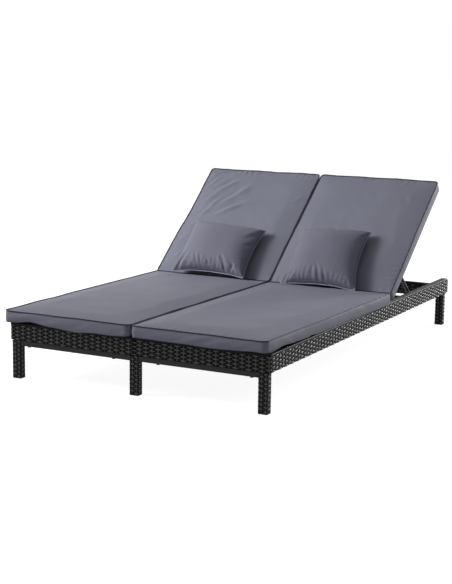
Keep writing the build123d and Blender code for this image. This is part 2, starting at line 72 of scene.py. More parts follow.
def connect(tree, node, inputs):
    # A node gives its first output, a pair is a node with one of its outputs, and the rest are plain values
    for key, value in inputs.items():
        if isinstance(value, bpy.types.Node):
            value = (value, 0)
        if isinstance(value, tuple) and isinstance(value[0], bpy.types.Node):
            tree.links.new(value[0].outputs[value[1]], node.inputs[key])
        else:
            node.inputs[key].default_value = value


def addNode(tree, kind, settings=None, inputs=None):
    node = tree.nodes.new(kind)
    for key, value in (settings or {}).items():
        setattr(node, key, value)
    connect(tree, node, inputs or {})
    return node


def newMaterial(name, finish):
    material = bpy.data.materials.new(name)
    material.use_nodes = True
    tree = material.node_tree
    shader = tree.nodes["Principled BSDF"]
    connect(tree, shader, finish)
    place = addNode(tree, "ShaderNodeTexCoord")
    return material, tree, shader, (place, "Object")


def varied(tree, place, look, low=None, high=None):
    # Soft patches between two colours, so many to the metre
    patches = addNode(tree, "ShaderNodeTexNoise", inputs={
        "Vector": place, "Scale": look["patch"], "Detail": 3})
    mix = addNode(tree, "ShaderNodeMix", {"data_type": "RGBA"}, {
        "Factor": patches, 6: linear(low or look["low"]), 7: linear(high or look["high"])})
    return (mix, 2)


def uneven(tree, place, look):
    # Roughness that drifts in patches of its own
    grain = addNode(tree, "ShaderNodeTexNoise", inputs={
        "Vector": place, "Scale": look["roughPatch"], "Detail": 4})
    low, high = look["roughness"]
    return addNode(tree, "ShaderNodeMapRange", inputs={"Value": grain, "To Min": low, "To Max": high})


resinFinishAndPaintedLight = {
    "low": "#0b0b0d", "high": "#1d1d20",
    "patch": 14,  # per metre: shade drifts from strand to strand over about 70 mm
    "grainWidth": 0.0012,  # extruder lines along a strand, drawn coarser than the real 0.3 mm
    "bump": {"Strength": 0.12, "Distance": 0.0002},
    # from deep in the weave to the tops of the bulges; shade darkens the colour in the recesses and lifts it on
    # the bulges, a painted shade and a painted highlight
    "shade": (0.35, 1.15),
    "roughness": (0.6, 0.2),  # dusty in the recesses, polished on the bulges
    "specular": (0.02, 0.58),
}


def polyethyleneStrand():
    # Extruded polyethylene strand, black through and through: waxy glints where it stands out, dull deep down
    look = resinFinishAndPaintedLight
    material, tree, shader, place = newMaterial("polyethyleneStrand", {"IOR": 1.5})
    relief = (addNode(tree, "ShaderNodeAttribute", {"attribute_name": "relief"}), "Fac")
    shade, rough, gloss = [
        addNode(tree, "ShaderNodeMapRange", inputs={"Value": relief, "To Min": deep, "To Max": raised})
        for deep, raised in (look["shade"], look["roughness"], look["specular"])]
    # the strand's colour times shade: painted shade deep in the weave, a painted highlight on the bulges
    colour = addNode(tree, "ShaderNodeMix", {"data_type": "RGBA", "blend_type": "MULTIPLY"}, {
        "Factor": 1.0, 6: varied(tree, place, look), 7: shade})
    lines = addNode(tree, "ShaderNodeTexWave", {"wave_type": "BANDS", "bands_direction": "Z"}, {
        "Vector": place, "Scale": 1 / (look["grainWidth"] * 20), "Distortion": 1.5, "Detail": 2})
    bump = addNode(tree, "ShaderNodeBump", inputs={**look["bump"], "Height": lines})
    connect(tree, shader, {"Base Color": (colour, 2), "Roughness": rough, "Specular IOR Level": gloss,
                           "Normal": bump})
    return material


clothFinish = {
    "patch": 5,  # per metre: dye and dust vary over about 200 mm
    "threadPitch": 0.0016,  # polyester canvas has 0.5 mm threads, drawn coarser so that they show close up
    "slub": 260,  # per metre: thicker spots in the yarn, about 4 mm apart
    "slubShade": (0.93, 1.06),
    "roughness": (0.46, 0.60),  # tightly woven and calendered, so creases catch some light
    "roughPatch": 40,
    "specular": 0.1,
    "sheen": 0.035, "sheenRoughness": 0.45,
    "bump": {"Strength": 0.25, "Distance": 0.0003},
}
# darker and lighter shade of each cloth
clothColours = {
    "wovenPolyester": ("#777886", "#80818f"),
    "pillowPolyester": ("#6e6e7d", "#777786"),
    # the welt is drawn lighter than the pillow cloth: a painted highlight along its ridge
    "pillowWelt": ("#8e8e9c", "#9898a6"),
    "pipingTape": ("#3a3945", "#454452"),
    "backHemTape": ("#565562", "#62616e"),
}


def wovenPolyester(name):
    # Plain woven polyester: half matt, a faint sheen at a low angle, square thread pattern close up
    look = clothFinish
    material, tree, shader, place = newMaterial(name, {
        "IOR": 1.5, "Specular IOR Level": look["specular"],
        "Sheen Weight": look["sheen"], "Sheen Roughness": look["sheenRoughness"],
    })
    threads = [addNode(tree, "ShaderNodeTexWave", {"wave_type": "BANDS", "bands_direction": direction}, {
        "Vector": place, "Scale": 1 / (look["threadPitch"] * 20), "Distortion": 0.6, "Detail": 1})
        for direction in ("X", "Y", "Z")]
    crossed = addNode(tree, "ShaderNodeMath", {"operation": "MULTIPLY"}, {0: threads[0], 1: threads[1]})
    pattern = addNode(tree, "ShaderNodeMath", {"operation": "ADD"}, {0: crossed, 1: threads[2]})
    slub = addNode(tree, "ShaderNodeTexNoise", inputs={"Vector": place, "Scale": look["slub"], "Detail": 3})
    thin, thick = look["slubShade"]
    shade = addNode(tree, "ShaderNodeMapRange", inputs={"Value": slub, "To Min": thin, "To Max": thick})
    tone = varied(tree, place, look, *clothColours[name])
    colour = addNode(tree, "ShaderNodeMix", {"data_type": "RGBA", "blend_type": "MULTIPLY"}, {
        "Factor": 1.0, 6: tone, 7: shade})
    bump = addNode(tree, "ShaderNodeBump", inputs={**look["bump"], "Height": pattern})
    connect(tree, shader, {"Base Color": (colour, 2), "Roughness": uneven(tree, place, look), "Normal": bump})
    return material


# Polyester powder coat, baked: black, half matt, with a fine orange peel that blurs every reflection
steelFinish = {
    "shader": {"IOR": 1.5, "Specular IOR Level": 0.25},
    "low": "#101011", "high": "#18181a", "patch": 9, "roughness": (0.42, 0.58), "roughPatch": 60,
    "grain": 700,  # per metre: the peel is about 1.4 mm from crest to crest
    "bump": {"Strength": 0.15, "Distance": 0.0002},
}
# Black passivated zinc on the bolts: dark metal with cloudy patches
zincFinish = {
    "shader": {"Metallic": 1.0},
    "low": "#2c2d30", "high": "#45474b", "patch": 120, "roughness": (0.3, 0.5), "roughPatch": 200,
}
# Moulded foot plugs: black, with a spark-eroded grain that scatters the light
plugFinish = {
    "shader": {"IOR": 1.49, "Specular IOR Level": 0.3},
    "low": "#121213", "high": "#1b1b1c", "patch": 30, "roughness": (0.5, 0.66), "roughPatch": 80,
    "grain": 1600,  # per metre: pits about 0.6 mm apart, coarser than the real ones
    "bump": {"Strength": 0.2, "Distance": 0.0002},
}


def hardSurface(name, look):
    material, tree, shader, place = newMaterial(name, look["shader"])
    connect(tree, shader, {"Base Color": varied(tree, place, look), "Roughness": uneven(tree, place, look)})
    if "grain" in look:
        grain = addNode(tree, "ShaderNodeTexNoise", inputs={
            "Vector": place, "Scale": look["grain"], "Detail": 2})
        bump = addNode(tree, "ShaderNodeBump", inputs={**look["bump"], "Height": grain})
        connect(tree, shader, {"Normal": bump})
    return material


strandMaterial = polyethyleneStrand()
padMaterial = wovenPolyester("wovenPolyester")
pillowMaterial = wovenPolyester("pillowPolyester")
weltMaterial = wovenPolyester("pillowWelt")
pipingMaterial = wovenPolyester("pipingTape")
backHemMaterial = wovenPolyester("backHemTape")
steelMaterial = hardSurface("powderCoatedSteel", steelFinish)
zincMaterial = hardSurface("blackZincSteel", zincFinish)
footMaterial = hardSurface("mouldedPolypropylene", plugFinish)
print("materials made")


# Mesh helpers

def makePiece(name, points, faces, material, relief=None):
    mesh = bpy.data.meshes.new(name)
    mesh.from_pydata([tuple(p) for p in points], [], faces)
    mesh.polygons.foreach_set("use_smooth", [True] * len(mesh.polygons))
    if relief:
        mesh.attributes.new("relief", "FLOAT", "POINT").data.foreach_set("value", relief)
    mesh.materials.append(material)
    piece = bpy.data.objects.new(name, mesh)
    bpy.context.scene.collection.objects.link(piece)
    return piece


def settle(piece, place, body):
    # Lays a finished piece in its place and hands it to the body that carries it
    piece.data.transform(place)
    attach(piece, body)


def gridFaces(rows, columns, first=0, closedRows=False, closedColumns=False):
    faces = []
    for i in range(rows if closedRows else rows - 1):
        for j in range(columns if closedColumns else columns - 1):
            nextI, nextJ = (i + 1) % rows, (j + 1) % columns
            faces.append((first + i * columns + j, first + nextI * columns + j,
                          first + nextI * columns + nextJ, first + i * columns + nextJ))
    return faces


def gridRim(across, up):
    # Outline of a grid as (column, row), anticlockwise from its low left corner
    return ([(i, 0) for i in range(across)] + [(across, j) for j in range(up)]
            + [(i, up) for i in range(across, 0, -1)] + [(0, j) for j in range(up, 0, -1)])


def panelFaces(across, up, index, back):
    # Two panels on one grid, the back one facing the other way
    faces = []
    for j in range(up):
        for i in range(across):
            quad = [(i, j), (i + 1, j), (i + 1, j + 1), (i, j + 1)]
            faces.append(tuple(index[1, a, b] for a, b in quad))
            faces.append(tuple(index[back, a, b] for a, b in reversed(quad)))
    return faces


def outwardOf(loop):
    # Level directions out of a closed loop that runs anticlockwise
    tangent = np.roll(loop, -1, 0) - np.roll(loop, 1, 0)
    outward = np.stack([tangent[:, 1], -tangent[:, 0], np.zeros(len(loop))], 1)
    return outward / np.linalg.norm(outward, axis=1)[:, None]


def hill(value, centre, reach):
    return math.exp(-((value - centre) / reach) ** 2)


def ripple(x, y, pick):
    # Smooth random value between -1 and 1. x and y are counted in bumps, pick chooses the pattern
    return noise.noise(Vector((x, y, pick)))


sewnTube = {"sides": 8, "wobble": 0.05, "seed": 1}


def tubeAlong(path, radius):
    # Closed tube around a loop of points, slightly uneven as sewn piping is
    tangents = np.roll(path, -1, 0) - np.roll(path, 1, 0)
    tangents /= np.linalg.norm(tangents, axis=1)[:, None] + 1e-12
    outward = np.cross(tangents, (0, 0, 1.0))
    outward /= np.linalg.norm(outward, axis=1)[:, None] + 1e-12
    upward = np.cross(outward, tangents)
    draw = np.random.default_rng(sewnTube["seed"])
    radii = radius * (1 + sewnTube["wobble"] * draw.normal(size=len(path)))
    points = []
    for k in range(len(path)):
        for a in range(sewnTube["sides"]):
            angle = 2 * math.pi * a / sewnTube["sides"]
            points.append(path[k] + radii[k] * (math.cos(angle) * outward[k] + math.sin(angle) * upward[k]))
    return points, gridFaces(len(path), sewnTube["sides"], closedRows=True, closedColumns=True)


def sewTrim(label, seam, trim, material, place, body):
    # Piping, hem or welt, lying beside its seam and a little above it
    loop = np.array([tuple(p) for p in seam])
    loop = loop + outwardOf(loop) * trim["aside"] + np.array((0, 0, trim["lift"]))
    points, faces = tubeAlong(loop, trim["radius"])
    settle(makePiece(label, points, faces, material), place, body)


# Woven skins

weave = {
    "rowHeight": 0.00775,
    "stakePitch": 0.0275,  # measured between the bulges of one row
    "stakeWidth": 0.0075,
    "strandThick": 0.0024,
    "swing": 0.0019,  # how far a strand goes in and out between stakes
    "proud": 0.0012,  # the bulges stand out of the plain border
    "samples": 6,  # along a strand, from stake to stake
    "fullness": 0.97,  # strand height against the row height
    "unevenness": 0.00025,
    # cross-sections: up or sideways, then depth in shares of the strand's thickness
    "strandSection": [(-0.5, -0.1), (-0.3, 0.28), (0, 0.5), (0.3, 0.28), (0.5, -0.1), (0, -0.4)],
    "stakeSection": [(-1, -0.2), (-0.6, 0.25), (0.6, 0.25), (1, -0.2)],
    # the polished bulge tops also carry the strands' painted highlight
    "polishAndPaintedLight": 2.6,  # how narrow the polished tops of the bulges are
    "lining": 0.0053,  # its depth behind the outline
    "liningThick": 0.0008,
    # this relief also paints borders and covers in a dark painted shade
    "plainRelief": 0.15,  # borders and covers are neither polished nor deep
}
cornerSteps = 8  # round each corner of an outline


def roundedLoop(corners, radii, spacing, multiple):
    # Points and outward directions along a closed plan outline, evenly spaced. Corners run anticlockwise
    dense = []
    for k, radius in enumerate(radii):
        corner = Vector(corners[k])
        before = (Vector(corners[k - 1]) - corner).normalized()
        after = (Vector(corners[(k + 1) % len(corners)]) - corner).normalized()
        centre = corner + radius * (before + after)
        sweep = -1 if before.x * after.y - before.y * after.x > 0 else 1
        for step in range(cornerSteps + 1):
            turn = Matrix.Rotation(sweep * math.radians(90) * step / cornerSteps, 2)
            dense.append(centre + radius * (turn @ -after))
    dense = np.array([tuple(p) for p in dense])
    steps = np.linalg.norm(np.roll(dense, -1, 0) - dense, axis=1)
    total = steps.sum()
    count = max(2, 2 * round(total / spacing / 2)) * multiple  # the weave closes on an even number of stakes
    along = np.concatenate([[0], np.cumsum(steps)])
    closed = np.vstack([dense, dense[:1]])
    targets = np.arange(count) * total / count
    loop = np.stack([np.interp(targets, along, closed[:, c]) for c in (0, 1)], 1)
    return loop, outwardOf(loop)[:, :2]


def boxLoop(low, high, radius, design):
    corners = [(low.x, low.y), (high.x, low.y), (high.x, high.y), (low.x, high.y)]
    return roundedLoop(corners, [radius] * 4, design["stakePitch"], design["samples"])


def wovenSkin(loopAt, low, high, rows, design, seed):
    # Strands run round the outline row by row, in and out of upright stakes
    rowHeight = (high - low) / rows
    thick, swing, multiple = design["strandThick"], design["swing"], design["samples"]
    middle = thick / 2 + swing - design["proud"]
    deepest, span = -middle - swing, 2 * swing + thick / 2
    draw = np.random.default_rng(seed)
    points, faces, relief = [], [], []

    def place(spot, height, offset):
        points.append((spot[0], spot[1], height))
        # relief runs from deep in the weave to the bulge tops; it sets roughness and gloss and the painted shade
        # and highlight of the strands
        relief.append(min(max((offset - deepest) / span, 0.0), 1.0) ** design["polishAndPaintedLight"])

    loops = [loopAt(low + (row + 0.5) * rowHeight) for row in range(rows)]
    for row, (loop, outward) in enumerate(loops):
        height = low + (row + 0.5) * rowHeight
        count, first = len(loop), len(points)
        phase = np.pi * np.arange(count) / multiple + np.pi * row
        shift = draw.normal(0, design["unevenness"], count // multiple + 1)
        lean = np.interp(np.arange(count) / multiple, np.arange(len(shift)), shift)
        lean[-multiple:] *= np.linspace(1, 0, multiple)
        wave = swing * np.cos(phase) - middle
        for k in range(count):
            for up, deep in design["strandSection"]:
                offset = wave[k] + deep * thick
                spot = loop[k] + outward[k] * offset
                place(spot, height + up * rowHeight * design["fullness"] + lean[k], offset)
        faces += gridFaces(count, len(design["strandSection"]), first, closedRows=True, closedColumns=True)
    # upright stakes, each on the other side of every strand
    around, half = len(loops[0][0]), design["stakeWidth"] / 2
    for stake in range(around // multiple):
        k, first = stake * multiple, len(points)
        for row in range(-1, rows + 1):
            loop, outward = loops[min(max(row, 0), rows - 1)]
            wave = -swing * math.cos(math.pi * (stake + row)) - middle
            along = np.array([-outward[k][1], outward[k][0]])
            height = min(max(low + (row + 0.5) * rowHeight, low), high)
            for aside, deep in design["stakeSection"]:
                offset = wave + deep * thick
                place(loop[k] + outward[k] * offset + along * aside * half, height, offset)
        faces += gridFaces(rows + 2, len(design["stakeSection"]), first, closedColumns=True)
    # thin lining behind the strands where overlaps close the real weave; set at the deepest relief, it takes the
    # darkest painted shade of the weave
    if design["lining"]:
        first, picked = len(points), [loops[0], loops[rows // 2], loops[-1]]
        heights = (low, low + (rows // 2 + 0.5) * rowHeight, high)
        near = design["lining"]
        for k in range(around):
            for depth, order in ((near, (0, 1, 2)), (near + design["liningThick"], (2, 1, 0))):
                for level in order:
                    loop, outward = picked[level]
                    place(loop[k] - outward[k] * depth, heights[level], deepest)
        faces += gridFaces(around, 6, first, closedRows=True, closedColumns=True)
    return points, faces, relief


rim = {
    "footCorner": 0.010,
    "innerCorner": 0.002,
    "rearCorner": 0.018,  # seen from the side, at the top of the rear end
    "rearRise": 0.0175,  # followed up to here, just short of level
    "border": 0.009, "borderDepth": 0.004,
    "borderSoft": (0.001, 0.002),  # softened at its lower and its top edge
    "rows": 8,
    "seed": 11, "headSeed": 21,
}
# strands laid along the top and the underside of the rails
cover = {"thick": 0.0016, "margin": 0.003, "footEnd": 0.009, "rearEnd": 0.014, "lift": 0.0012}


def band(loop, outward, top):
    # Plain wrapped border along the top, a ring with softened edges
    depth, low = rim["borderDepth"], top - rim["border"]
    soft, softTop = rim["borderSoft"]
    section = [(-depth, low), (-soft, low), (0.0, low + soft),
               (0.0, top - softTop), (-softTop, top), (-depth, top)]
    points = []
    for k in range(len(loop)):
        for out, height in section:
            spot = loop[k] + outward[k] * out
            points.append((spot[0], spot[1], height))
    return points, gridFaces(len(loop), len(section), closedRows=True, closedColumns=True)


def plate(xRange, yRange, z):
    (x0, x1), (y0, y1) = sorted(xRange), sorted(yRange)
    points = [(x, y, z + dz) for dz in (-cover["thick"] / 2, cover["thick"] / 2)
              for x, y in ((x0, y0), (x1, y0), (x1, y1), (x0, y1))]
    faces = [(3, 2, 1, 0), (4, 5, 6, 7), (0, 1, 5, 4), (1, 2, 6, 5), (2, 3, 7, 6), (3, 0, 4, 7)]
    return points, faces


def insetPlate(low, high, inset, z):
    return plate((low.x + inset, high.x - inset), (low.y + inset, high.y - inset), z)


def wovenPiece(label, nodes, *parts):
    # Skin, border and covers as one piece of the base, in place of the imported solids
    points, faces, relief = [], [], []
    for part in parts:
        first = len(points)
        points += list(part[0])
        faces += [tuple(i + first for i in face) for face in part[1]]
        relief += part[2] if len(part) > 2 else [weave["plainRelief"]] * len(part[0])
    piece = makePiece(label, points, faces, strandMaterial, relief)
    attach(piece, "base")
    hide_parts(*nodes)


def halfFrameRim(side, name):
    # One skin round the long rail and its half of the foot rail
    nodes = (f"side_rail_weave_{name}", f"foot_rail_weave_{name}")
    (longLow, longHigh), (footLow, footHigh) = [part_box(node) for node in nodes]
    outer = longHigh.x if side > 0 else -longLow.x
    inner = longLow.x if side > 0 else -longHigh.x
    start = footLow.x if side > 0 else -footHigh.x
    front, back, footInner = longLow.y, longHigh.y, footHigh.y
    low, top = longLow.z, longHigh.z

    def loopAt(height):
        corner, tight = rim["rearCorner"], rim["innerCorner"]
        rise = min(max(0.0, height - (top - corner)), rim["rearRise"])
        pulled = corner - math.sqrt(corner ** 2 - rise ** 2)
        corners = [(start, front), (outer, front), (outer, back - pulled), (inner, back - pulled),
                   (inner, footInner), (start, footInner)]
        radii = [tight, rim["footCorner"], tight, tight, tight, tight]
        loop, outward = roundedLoop(corners, radii, weave["stakePitch"], weave["samples"])
        if side < 0:
            loop, outward = loop[::-1] * (-1, 1), outward[::-1] * (-1, 1)
        return loop, outward

    skin = wovenSkin(loopAt, low, top - rim["border"], rim["rows"], weave, rim["seed"] + side)
    margin, covers = cover["margin"], []
    for z in (top - cover["thick"] / 2, low + cover["lift"]):
        covers.append(plate((side * (inner + margin), side * (outer - margin)),
                            (front + cover["footEnd"], back - cover["rearEnd"]), z))
        covers.append(plate((side * (start + margin), side * (inner + margin)),
                            (front + margin, footInner - margin), z))
    wovenPiece(f"wickerRim_{name}", nodes, skin, band(*loopAt(top - rim["border"] / 2), top), *covers)


def headRail(side, name):
    node = f"head_rail_weave_{name}"
    low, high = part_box(node)
    loop = boxLoop(low, high, rim["innerCorner"], weave)
    rows = round((high.z - low.z - rim["border"]) / weave["rowHeight"])
    skin = wovenSkin(lambda height: loop, low.z, high.z - rim["border"], rows, weave, rim["headSeed"] + side)
    covers = [insetPlate(low, high, cover["margin"], z)
              for z in (high.z - cover["thick"] / 2, low.z + cover["lift"])]
    wovenPiece(f"headRailWicker_{name}", [node], skin, band(*loop, high.z), *covers)


legWeave = dict(weave, stakePitch=0.0176, swing=0.0016, proud=0.001, stakeWidth=0.006, lining=None,
                rows=17, corner=0.004, lidDrop=0.001, seed=40)


def wovenLeg(place, count):
    node = f"leg_weave_{place}"
    low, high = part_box(node)
    loop = boxLoop(low, high, legWeave["corner"], legWeave)
    skin = wovenSkin(lambda height: loop, low.z, high.z, legWeave["rows"], legWeave, legWeave["seed"] + count)
    inset = legWeave["strandThick"] + 2 * legWeave["swing"]
    wovenPiece(f"legWicker_{place}", [node], skin, insetPlate(low, high, inset, high.z - legWeave["lidDrop"]))


for name, side in sides.items():
    halfFrameRim(side, name)
    headRail(side, name)
legPlaces = sorted(n[len("leg_weave_"):] for n in frame["nodes"] if n.startswith("leg_weave_"))
for count, place in enumerate(legPlaces):
    wovenLeg(place, count)
print("woven rails and legs made")


# Cushions

# Cloth run that swells a cover: light canvas that hardly stretches
canvasRun = {
    "quality": 6, "mass": 0.15,
    "tension_stiffness": 18, "compression_stiffness": 18, "shear_stiffness": 6, "bending_stiffness": 0.35,
    "use_pressure": True, "vertex_group_mass": "seams",
}
runFrames = 20

padCloth = {
    "cell": 0.009,
    "seamDrop": 0.002,  # the top seam lies this far under the pad's thickness
    "flatness": (10, 14),  # across and along: higher keeps the top flat nearer to the edge
    "edgeRoll": 0.006,  # how far the top sinks from its crown to the piping
    "sideRows": 6,
    "sideBulge": 0.004,
    "sideCrinkle": 0.005, "crinklesPerMetre": 16, "crinkleSlant": 2.5,
    "calmSides": 0.25, "footReach": 0.04,  # away from the foot end only a quarter of the crinkles is left
    "puckerPitch": 0.029,
    "puckerHeight": 0.0030,
    "puckerReach": 0.030,
    "puckerStart": 0.006,
    "puckerDrift": 6,
    "patches": (0.35, 1.6),  # mean strength of the puckers and how it varies along the seams
    "pressure": 3.0,
    "cap": 0.007,  # no point moves further than this in the cloth run
    "seamPin": 0.96,  # the top seam gives a little
    "seamSharpness": 0.7,
}
trims = {
    "Piping": {"seam": "topSeam", "radius": 0.0023, "aside": 0.001, "lift": 0.0014},
    "Hem": {"seam": "bottomSeam", "radius": 0.0013, "aside": 0.0004, "lift": 0.0016},
}


def cornerRound(x, y, width, length, radii):
    # Moves a point of a plain rectangle onto one with rounded corners. radii: at y = 0 and at y = length
    radius = radii[0] if y < length / 2 else radii[1]
    cx = width / 2 - radius
    cy = radius if y < length / 2 else length - radius
    a = (abs(x) - cx) / radius
    b = (cy - y) / radius if y < length / 2 else (y - cy) / radius
    if a <= 0 or b <= 0:
        return x, y
    roundX = cx + radius * a * math.sqrt(1 - b * b / 2)
    roundY = radius * b * math.sqrt(1 - a * a / 2)
    return math.copysign(roundX, x), (cy - roundY if y < length / 2 else cy + roundY)


def padShape(spans, length, look, wander):
    # Box cushion on z = 0 from y = 0 to length, its left and right edges running from spans[0] to spans[1]
    width = sum(right - left for left, right in spans) / 2
    across, along = round(width / padCloth["cell"]), round(length / padCloth["cell"])
    seamHeight = look["thick"] - padCloth["seamDrop"]
    xs = np.linspace(-width / 2, width / 2, across + 1)
    ys = np.linspace(0, length, along + 1)
    points, index = [], {}

    def topHeight(x, y, px, py):
        u, v = 2 * x / width, 2 * y / length - 1
        flatX, flatY = padCloth["flatness"]
        inside = (1 - abs(u) ** flatX) * (1 - abs(v) ** flatY)
        edge = min(width / 2 - abs(x), y, length - y)
        run = y if width / 2 - abs(x) < min(y, length - y) else x
        drift = padCloth["puckerDrift"] * ripple(px * 9, py * 9, 0.5)
        phase = 2 * math.pi * run / padCloth["puckerPitch"] + drift
        mean, spread = padCloth["patches"]
        patchy = max(0.0, mean + spread * ripple(px * 6 + 20 * spans[0][0], py * 6, 2.5))
        fade = math.exp(-edge / padCloth["puckerReach"]) * min(1.0, edge / padCloth["puckerStart"])
        pucker = padCloth["puckerHeight"] * patchy * math.cos(phase) * fade
        return seamHeight + look["crown"] * (1 - u * u) * (1 - v * v) + padCloth["edgeRoll"] * inside + pucker

    for level in (1, 0):
        for j, y in enumerate(ys):
            left, right = [a + (b - a) * y / length for a, b in zip(*spans)]
            for i, x in enumerate(xs):
                px, py = cornerRound(x, y, width, length, look["radii"])
                z = topHeight(x, y, px, py) if level else 0.0
                dx, dy, dz = wander(px, py, level)
                index[level, i, j] = len(points)
                points.append(((left + right) / 2 + px * (right - left) / width + dx, py + dy, z + dz))
    topSeam, bottomSeam = [[index[level, i, j] for i, j in gridRim(across, along)] for level in (1, 0)]
    faces = panelFaces(across, along, index, 0)
    rows = [topSeam]
    top, bottom = [np.array([points[k] for k in seam]) for seam in (topSeam, bottomSeam)]
    outward, count, calm = outwardOf(top), padCloth["crinklesPerMetre"], padCloth["calmSides"]
    for row in range(1, padCloth["sideRows"]):
        t = row / padCloth["sideRows"]
        # the side panel bulges between its two seams and crinkles, most at the foot end
        slant = t * padCloth["crinkleSlant"]
        crinkle = np.array([ripple(x * count + slant, y * count, spans[0][0] * 9 + length)
                            * (calm + (1 - calm) * hill(y, 0, padCloth["footReach"])) for x, y, z in top])
        depth = padCloth["sideBulge"] + padCloth["sideCrinkle"] * crinkle
        ring = top * (1 - t) + bottom * t + outward * (depth * math.sin(math.pi * t))[:, None]
        rows.append(list(range(len(points), len(points) + len(ring))))
        points += [tuple(p) for p in ring]
    rows.append(bottomSeam)
    for upper, lower in zip(rows, rows[1:]):
        for k in range(len(upper)):
            n = (k + 1) % len(upper)
            faces.append((upper[k], lower[k], lower[n], upper[n]))
    size = (across + 1) * (along + 1)
    parts = {"topSeam": topSeam, "bottomSeam": bottomSeam, "bottom": list(range(size, 2 * size))}
    return points, faces, parts


def swell(piece, pinned, design):
    # Cloth under light pressure: it crowns between the seams, which are pinned
    start = np.array([v.co for v in piece.data.vertices])
    group = piece.vertex_groups.new(name=canvasRun["vertex_group_mass"])
    for weight, members in pinned:
        group.add(members, weight, "REPLACE")
    cloth = piece.modifiers.new("cloth", "CLOTH")
    for key, value in canvasRun.items():
        setattr(cloth.settings, key, value)
    cloth.settings.uniform_pressure_force = design["pressure"]
    cloth.settings.effector_weights.gravity = 0
    cloth.collision_settings.use_collision = False
    cloth.point_cache.frame_start, cloth.point_cache.frame_end = 1, runFrames
    for step in range(1, runFrames + 1):
        bpy.context.scene.frame_set(step)
    shown = piece.evaluated_get(bpy.context.evaluated_depsgraph_get())
    move = np.array([v.co for v in shown.data.vertices]) - start
    size = np.linalg.norm(move, axis=1)[:, None] + 1e-12
    done = start + move * np.minimum(1, design["cap"] / size)
    piece.modifiers.remove(cloth)
    piece.vertex_groups.clear()
    piece.data.vertices.foreach_set("co", done.astype(np.float32).ravel())
    piece.data.update()
    bpy.context.scene.frame_set(1)


def creaseLoop(mesh, loop, sharpness):
    wanted = {frozenset((loop[k], loop[(k + 1) % len(loop)])) for k in range(len(loop))}
    crease = mesh.attributes.get("crease_edge") or mesh.attributes.new("crease_edge", "FLOAT", "EDGE")
    for edge in mesh.edges:
        if frozenset(edge.vertices) in wanted:
            crease.data[edge.index].value = sharpness


def finishCloth(piece):
    subdivide = piece.modifiers.new("subdivide", "SUBSURF")
    subdivide.levels = subdivide.render_levels = 1
    shown = piece.evaluated_get(bpy.context.evaluated_depsgraph_get())
    mesh = bpy.data.meshes.new_from_object(shown)
    piece.modifiers.clear()
    old = piece.data
    piece.data = mesh
    bpy.data.meshes.remove(old)


def cushion(kind, name, body, box, space, look, wander):
    # box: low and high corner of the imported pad, in the space that the pad lies level in
    low, high = box
    label, gap = f"{kind}_{name}", look["footGap"]
    spans = [(low.x + left, high.x + right) for left, right in look["shift"][name]]
    points, faces, parts = padShape(spans, high.y - low.y - gap, look, wander)
    piece = makePiece(label, points, faces, padMaterial)
    swell(piece, [(1.0, parts["bottom"]), (padCloth["seamPin"], parts["topSeam"])], padCloth)
    seams = {}
    for seam in ("topSeam", "bottomSeam"):
        seams[seam] = [piece.data.vertices[k].co.copy() for k in parts[seam]]
        creaseLoop(piece.data, parts[seam], padCloth["seamSharpness"])
    finishCloth(piece)
    place = space @ Matrix.Translation((0, low.y + gap, low.z))
    settle(piece, place, body)
    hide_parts(look["node"] + name)
    for part, trim in trims.items():
        material = pipingMaterial if part == "Piping" else look["hem"]
        sewTrim(label + part, seams[trim["seam"]], trim, material, place, body)


seatPadLook = {
    "node": "seat_pad_", "hem": pipingMaterial, "footGap": 0.002,
    "thick": 0.048, "crown": 0.003, "radii": (0.020, 0.008),
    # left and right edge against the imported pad, at the foot end and at the crease
    "shift": {"left": ((-0.013, -0.014), (-0.001, 0.000)), "right": ((-0.014, -0.020), (0.000, 0.002))},
    "wander": (0.003, 0.003, 0.0022),  # of the top: across, along and up
    # how the hem lies at the foot edge: place across from the pad's middle, rise, reach
    "footHem": {
        "left": [(-0.165, 0.010, 0.05), (0.045, -0.009, 0.075), (0.2, -0.004, 0.06)],
        "right": [(-0.12, -0.001, 0.05), (0.06, -0.004, 0.09), (0.24, 0.003, 0.04)],
    },
    "raisedDepth": 0.03, "saggingDepth": 0.006,  # how far in from the foot edge the underside follows
    # and along the side: distance from the foot end, rise, reach
    "sideHem": {
        "left": [(0.2, 0.003, 0.08), (0.7, 0.002, 0.1)],
        "right": [(0.14, 0.007, 0.05), (0.23, 0.003, 0.08), (0.39, 0.004, 0.03), (0.8, 0.002, 0.12)],
    },
    "sideDepth": 0.012,
}
